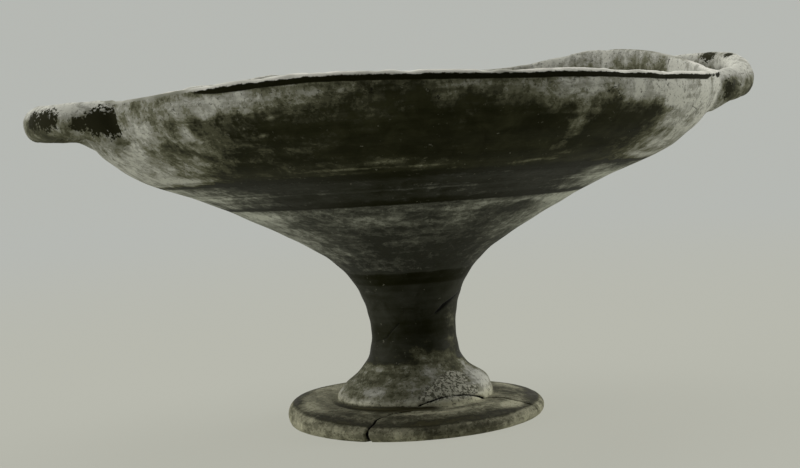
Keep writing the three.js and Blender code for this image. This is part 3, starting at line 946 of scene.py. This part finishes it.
class ClayNet(Net):
    """The clay's nodes, with the places and noises that several of its layers share."""

    def __init__(self, tree):
        super().__init__(tree)
        self.place = self.node("TexCoord").outputs["Object"]
        self.level = self.marked("level")
        self.inner = self.marked("inner")
        self.off_loop = self.opposite(self.marked("loop"))
        self.outer = self.opposite(self.inner)
        self.outside = self.opposite(self.maths("MAXIMUM", self.inner, self.marked("loop")))
        self.broad = self.noise(self.place, 42, 5, 0.6)
        self.middle = self.noise(self.place, 150, 7, 0.62, 0.5)
        self.fine = self.noise(self.place, 620, 5, 0.6)
        self.streak = self.noise(self.stretch(self.place, 55, 55, 420), 1.0, 5, 0.62)
        self.brushed = self.noise(self.stretch(self.place, 20, 20, 900, 3.1), 1.0, 3, 0.5)
        self.jitter = self.swing(self.middle, 0.9)

    def greys_by_level(self, table, jitter):
        """Greys from (level, grey), with the level made uneven by the jitter."""
        stops = [(level / RAMP_TOP, grey) for level, grey in table]
        return self.steps(self.times(self.add(self.level, jitter), 1 / RAMP_TOP), stops)


def slip_colour(net):
    """Sound slip: streaky from the brush, thin over the lower bowl, browner on the foot."""
    painted = net.greys_by_level(PAINT, net.jitter)
    wash = net.ragged(painted, net.streak, 0.6)
    wash = net.span(net.ragged(wash, net.middle, 0.9), 0.0, 0.9)
    thin = net.blend(net.span(net.level, 85.5, 87), THIN_SLIP_BELOW, THIN_SLIP)
    slip = net.blend(wash, THICK_SLIP, thin)
    slip = net.blend(net.span(net.level, 18, 11, 0.0, 0.8), slip, FOOT_SLIP)
    inside = net.blend(net.middle, INSIDE_SLIP, INSIDE_SLIP_PALE)
    return net.blend(net.inner, slip, inside)


def paleness_in_detail(net):
    """The mesh's wear, with its painted light and shade, broken up by noises, each with its strength and
    where it acts.
    """
    lively = net.times(net.span(net.level, 10, 30, 0.5, 1.0), net.span(net.inner, 0, 1, 1.0, 0.55))
    above_or_below_middle = net.maths("ABSOLUTE", net.add(net.level, -65))
    lively = net.times(lively, net.span(above_or_below_middle, 8, 13, 0.62, 1.0))
    sheets = net.span(net.noise(net.stretch(net.place, 1, 1, 1.4, 5.5), 80, 10, 0.68, 0.5), 0.47, 0.50)
    flakes = net.span(net.noise(net.stretch(net.place, 1, 1, 1.2, 8.2), 250, 8, 0.72), 0.49, 0.53)
    drips = net.noise(net.stretch(net.place, 130, 130, 16, 6.1), 1.0, 5, 0.62)
    below_lip = net.times(net.span(net.level, 99, 108), net.times(net.outside, 0.5))
    runs = net.maths("MAXIMUM", net.inner, below_lip)
    lines = net.greys_by_level(LINES, net.times(net.jitter, 0.4))
    paleness = net.marked("wear_and_painted_light")
    for share, strength, where in (
            (net.middle, 0.60, lively), (net.broad, 0.35, lively), (sheets, 0.11, lively),
            (flakes, 0.10, 1.0), (drips, 0.9, runs), (net.brushed, 0.15, net.outside),
            (net.fine, 0.34, 1.0), (net.streak, 0.48, net.outside), (lines, 0.75, net.outside)):
        paleness = net.add(paleness, net.times(net.swing(share, strength), where))
    return paleness


def clay_colour(net, paleness):
    """The clay from thin slip over stains to clean, yellowest where it is darkest."""
    tone = net.steps(paleness, TONES)
    hue = net.blend(net.span(tone, 0.02, 0.36), HUE_OF_SLIP, HUE_OF_CLAY)
    foot = net.times(net.span(net.level, 13, 7), net.times(net.outer, 0.8))
    hue = net.blend(foot, hue, HUE_OF_FOOT)
    lower_bowl = net.times(net.span(net.level, 22, 54), net.times(net.outer, 0.8))
    lower_bowl = net.times(net.span(net.level, 87, 85.5), lower_bowl)
    hue = net.blend(lower_bowl, hue, HUE_OF_LOWER_BOWL)
    return net.blend(1.0, tone, hue, "MULTIPLY")


def with_flecks(net, colour, paleness):
    """Dark flecks of slip left on the clay, and pale ones on the slip."""
    left = net.span(net.noise(net.place, 900, 5, 0.75), 0.57, 0.62)
    colour = net.blend(net.times(left, net.span(paleness, 0.42, 0.6, 0.0, 0.7)), colour, DARK_FLECK)
    lost = net.span(net.noise(net.stretch(net.place, 1, 1, 1, 4.3), 480, 4, 0.7), 0.66, 0.70)
    return net.blend(net.times(lost, 0.7), colour, PALE_FLECK)


def with_lip(net, colour):
    """The black band below the lip, and above its ragged border the lip's bare edge."""
    band = net.marked("band")
    ragged = net.ragged(net.level, net.noise(net.place, 480, 4, 0.7), 1.6)
    lower = net.ragged(net.level, net.middle, 0.7)
    lower = net.add(lower, net.span(band, 0.45, 1.0, -1.1, 0.0))
    between = net.times(net.span(lower, 112.0, 112.25), net.span(ragged, 113.95, 113.75))
    left = net.span(net.ragged(band, net.fine, 1.0), 0.45, 0.6)
    colour = net.blend(net.times(between, left), colour, BAND_BLACK)

    edge = net.add(ragged, net.times(net.inner, -0.9))
    lip = net.times(net.span(edge, 113.7, 114.0), net.off_loop)
    rubbed = net.blend(net.middle, LIP_CLAY, LIP_CLAY_PALE)
    rubbed = net.blend(net.marked("bare"), LIP_STAINED, rubbed)
    return net.blend(lip, colour, rubbed)


def with_black_on_handles(net, colour):
    left = net.ragged(net.marked("black"), net.middle, 0.5)
    left = net.ragged(left, net.noise(net.place, 900, 5, 0.7), 1.0)
    return net.blend(net.span(left, 0.64, 0.68), colour, HANDLE_BLACK)


def with_crust(net, colour):
    """The colour with the pale crust on it, and the crust's height, from 0 to 1."""
    lumps = net.noise(net.place, 380, 6, 0.7)
    crusted = net.ragged(net.times(net.marked("crust"), 0.8), lumps, 1.4)
    crusted = net.span(crusted, 0.36, 0.5)
    grit = net.span(net.noise(net.place, 1000, 3, 0.7), 0.44, 0.54)
    colour = net.blend(net.times(crusted, 0.9), colour, net.blend(grit, CRUST_DARK, CRUST_PALE))
    return colour, net.times(crusted, lumps)


def with_specks_and_pits(net, colour):
    """The colour with pale specks and dark pits, and where the pits are."""
    bent = net.bent(net.place, 900, 0.004)
    specks = net.spots(bent, 150.0, 0.085)
    colour = net.blend(net.times(specks, 0.7), colour, SPECK)
    pits = net.spots(net.stretch(bent, 1, 1, 1, 7.7), 210.0, 0.13)
    return net.blend(net.times(pits, 0.8), colour, PIT), pits


def with_cracks(net, colour):
    crack = net.span(net.ragged(net.marked("crack"), net.fine, 0.3), 0.25, 0.75)
    return net.blend(crack, colour, CRACK_DIRT)


def fine_relief(net, paleness, crust_height, pits):
    """Wheel marks, brush marks, grain, the slip's edge, crust and pits, as a surface direction."""
    turned = net.node("CombineXYZ", {"X": net.times(net.level, 1.35), "Y": net.times(net.broad, 1.5)})
    wheel = net.times(net.noise(turned.outputs[0], 1.0, 4, 0.6), net.off_loop)
    brushed = net.times(net.brushed, net.outside)
    grain = net.noise(net.place, 1500, 4, 0.6)
    height = net.times(wheel, WHEEL_DEPTH)
    bare = net.span(paleness, 0.45, 0.70)
    for share, rise in ((brushed, BRUSH_DEPTH), (grain, GRAIN_DEPTH), (bare, -SLIP_THICKNESS),
                        (crust_height, CRUST_HEIGHT), (pits, -PIT_DEPTH)):
        height = net.add(height, net.times(share, rise))
    return net.node("Bump", {"Height": height, "Strength": 1.0, "Distance": 0.001}).outputs[0]


def clay_material():
    material = bpy.data.materials.new("slipped_clay")
    material.use_nodes = True
    net = ClayNet(material.node_tree)
    shader = material.node_tree.nodes["Principled BSDF"]
    paleness = paleness_in_detail(net)
    colour = net.blend(net.span(paleness, 0.28, 0.44), slip_colour(net), clay_colour(net, paleness))
    colour = with_flecks(net, colour, paleness)
    colour = with_lip(net, colour)
    colour = with_black_on_handles(net, colour)
    colour, crust_height = with_crust(net, colour)
    colour, pits = with_specks_and_pits(net, colour)
    colour = with_cracks(net, colour)
    rough = net.span(net.ragged(paleness, net.fine, 0.3), 0.2, 0.7, ROUGH_SLIP, ROUGH_CLAY)
    net.connect(colour, shader.inputs["Base Color"])
    net.connect(rough, shader.inputs["Roughness"])
    net.connect(SPECULAR, shader.inputs["Specular IOR Level"])
    net.connect(SPECULAR_TINT, shader.inputs["Specular Tint"])
    net.connect(fine_relief(net, paleness, crust_height, pits), shader.inputs["Normal"])
    return material


# ---------------- stage, light and camera
SEEN = 0.48  # brightness of the floor and of what is behind it
TINT = (0.975, 1.005, 0.945, 1)
NEAR_TINT = (1.0, 1.005, 0.87, 1)  # the floor's glow close to the cup
NEAR_TO, FAR_FROM = 0.1, 0.9  # metres over which the glow turns from one tint to the other
FLOOR_SHARE = 0.05  # how much light the floor gives back; the rest of it is glow
FLOOR_RADIUS, FLOOR_CORNERS = 60, 64
SKY_STEPS, SKY_ROWS = 180, 90  # how finely the light on the floor is summed up

# Suns: name, direction, height in degrees, strength, width in degrees
SUNS = [("above", 80, 62, 1.8, 50), ("right", 4, 16, 2.2, 40), ("left", 176, 14, 1.6, 40)]
# The surroundings' light, from the front (-Y) to the back, and where along Y it turns from one to the other
FRONT_LIGHT, BACK_LIGHT, TURNS_AT, TURNS_BY = 0.02, 0.9, -0.5, 0.6

SENSOR_WIDTH, LENS = 36, 76.545  # in mm
CAMERA_PLACE = (-0.12488, -0.58634, 0.1179)
HEADING, PITCH, ROLL = math.radians(11.805), math.radians(5.0936), math.radians(3.495)


def surroundings(y):
    return FRONT_LIGHT + (BACK_LIGHT - FRONT_LIGHT) * smoothstep(y, TURNS_AT, TURNS_BY)


def light_on_floor():
    """What the surroundings and the suns send down on each place of the floor."""
    row = (np.arange(SKY_ROWS) + 0.5) * (math.pi / 2) / SKY_ROWS
    azimuth, elevation = np.meshgrid(np.linspace(0, 2 * math.pi, SKY_STEPS, False), row)
    area = np.cos(elevation) * (2 * math.pi / SKY_STEPS) * (math.pi / 2 / SKY_ROWS)
    sky = float((surroundings(np.sin(azimuth) * np.cos(elevation)) * np.sin(elevation) * area).sum())
    return sky + sum(strength * math.sin(math.radians(height)) for _, _, height, strength, _ in SUNS)


def floor_material():
    """Lit evenly, so that far out it is exactly as bright as the pale surroundings."""
    lit = FLOOR_SHARE * light_on_floor() / math.pi
    material = bpy.data.materials.new("pale_floor")
    material.use_nodes = True
    material.node_tree.nodes.clear()
    net = Net(material.node_tree)
    diffuse = net.node("BsdfDiffuse", {"Color": tuple(FLOOR_SHARE * c for c in TINT[:3]) + (1,)})
    place = net.node("TexCoord").outputs["Object"]
    away = net.node("VectorMath", {0: place}, operation="LENGTH").outputs["Value"]
    tint = net.blend(net.span(away, NEAR_TO, FAR_FROM), NEAR_TINT, TINT)
    glow = net.node("Emission", {"Color": tint, "Strength": max(SEEN - lit, 0)})
    both = net.node("AddShader", {0: diffuse.outputs[0], 1: glow.outputs[0]})
    net.node("OutputMaterial", {"Surface": both.outputs[0]})
    return material


def stage():
    turn = [2 * math.pi * i / FLOOR_CORNERS for i in range(FLOOR_CORNERS)]
    corners = [(FLOOR_RADIUS * math.cos(a), FLOOR_RADIUS * math.sin(a), 0) for a in turn]
    floor = new_object("floor", corners, [tuple(range(FLOOR_CORNERS))])
    floor.data.materials.append(floor_material())


def world():
    """Even pale surroundings; what lights the cup is brighter behind than in front."""
    studio = bpy.data.worlds.new("studio")
    bpy.context.scene.world = studio
    studio.use_nodes = True
    studio.node_tree.nodes.clear()
    net = Net(studio.node_tree)
    direction = net.node("TexCoord").outputs["Generated"]
    y = net.node("SeparateXYZ", {0: direction}).outputs["Y"]
    strength = net.span(y, TURNS_AT, TURNS_BY, FRONT_LIGHT, BACK_LIGHT)
    light = net.node("Background", {"Color": (1, 1, 1, 1), "Strength": strength})
    seen = net.node("Background", {"Color": TINT, "Strength": SEEN})
    to_camera = net.node("LightPath").outputs["Is Camera Ray"]
    mix = net.node("MixShader", {0: to_camera, 1: light.outputs[0], 2: seen.outputs[0]})
    net.node("OutputWorld", {"Surface": mix.outputs[0]})


def sun(name, azimuth, elevation, strength, width):
    """A distant soft light that comes from that direction, in degrees."""
    lamp = bpy.data.lights.new(name, "SUN")
    lamp.energy = strength
    lamp.angle = math.radians(width)
    obj = bpy.data.objects.new(name, lamp)
    a, e = math.radians(azimuth), math.radians(elevation)
    towards = Vector((math.cos(a) * math.cos(e), math.sin(a) * math.cos(e), math.sin(e)))
    obj.rotation_euler = towards.to_track_quat("Z", "Y").to_euler()
    bpy.context.scene.collection.objects.link(obj)


def camera():
    """The photograph's viewpoint: a little above the cup, looking slightly down, and tilted."""
    cam = bpy.data.cameras.new("camera")
    cam.sensor_width = SENSOR_WIDTH
    cam.lens = LENS
    obj = bpy.data.objects.new("camera", cam)
    right = Vector((math.cos(HEADING), -math.sin(HEADING), 0))
    ahead = Vector((math.sin(HEADING), math.cos(HEADING), 0))
    up = Vector((0, 0, 1))
    look = ahead * math.cos(PITCH) - up * math.sin(PITCH)
    top = up * math.cos(PITCH) + ahead * math.sin(PITCH)
    x = right * math.cos(ROLL) - top * math.sin(ROLL)
    y = right * math.sin(ROLL) + top * math.cos(ROLL)
    turn = Matrix((x, y, -look)).transposed().to_4x4()
    obj.matrix_world = Matrix.Translation(CAMERA_PLACE) @ turn
    bpy.context.scene.collection.objects.link(obj)
    bpy.context.scene.camera = obj


# ---------------- the scene
camera()
world()
stage()
for lamp in SUNS:
    sun(*lamp)
bpy.context.scene.view_settings.view_transform = "Standard"

cup = build_cup()
cup.data.materials.clear()
cup.data.materials.append(clay_material())
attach(cup, "root")
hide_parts("kylix")
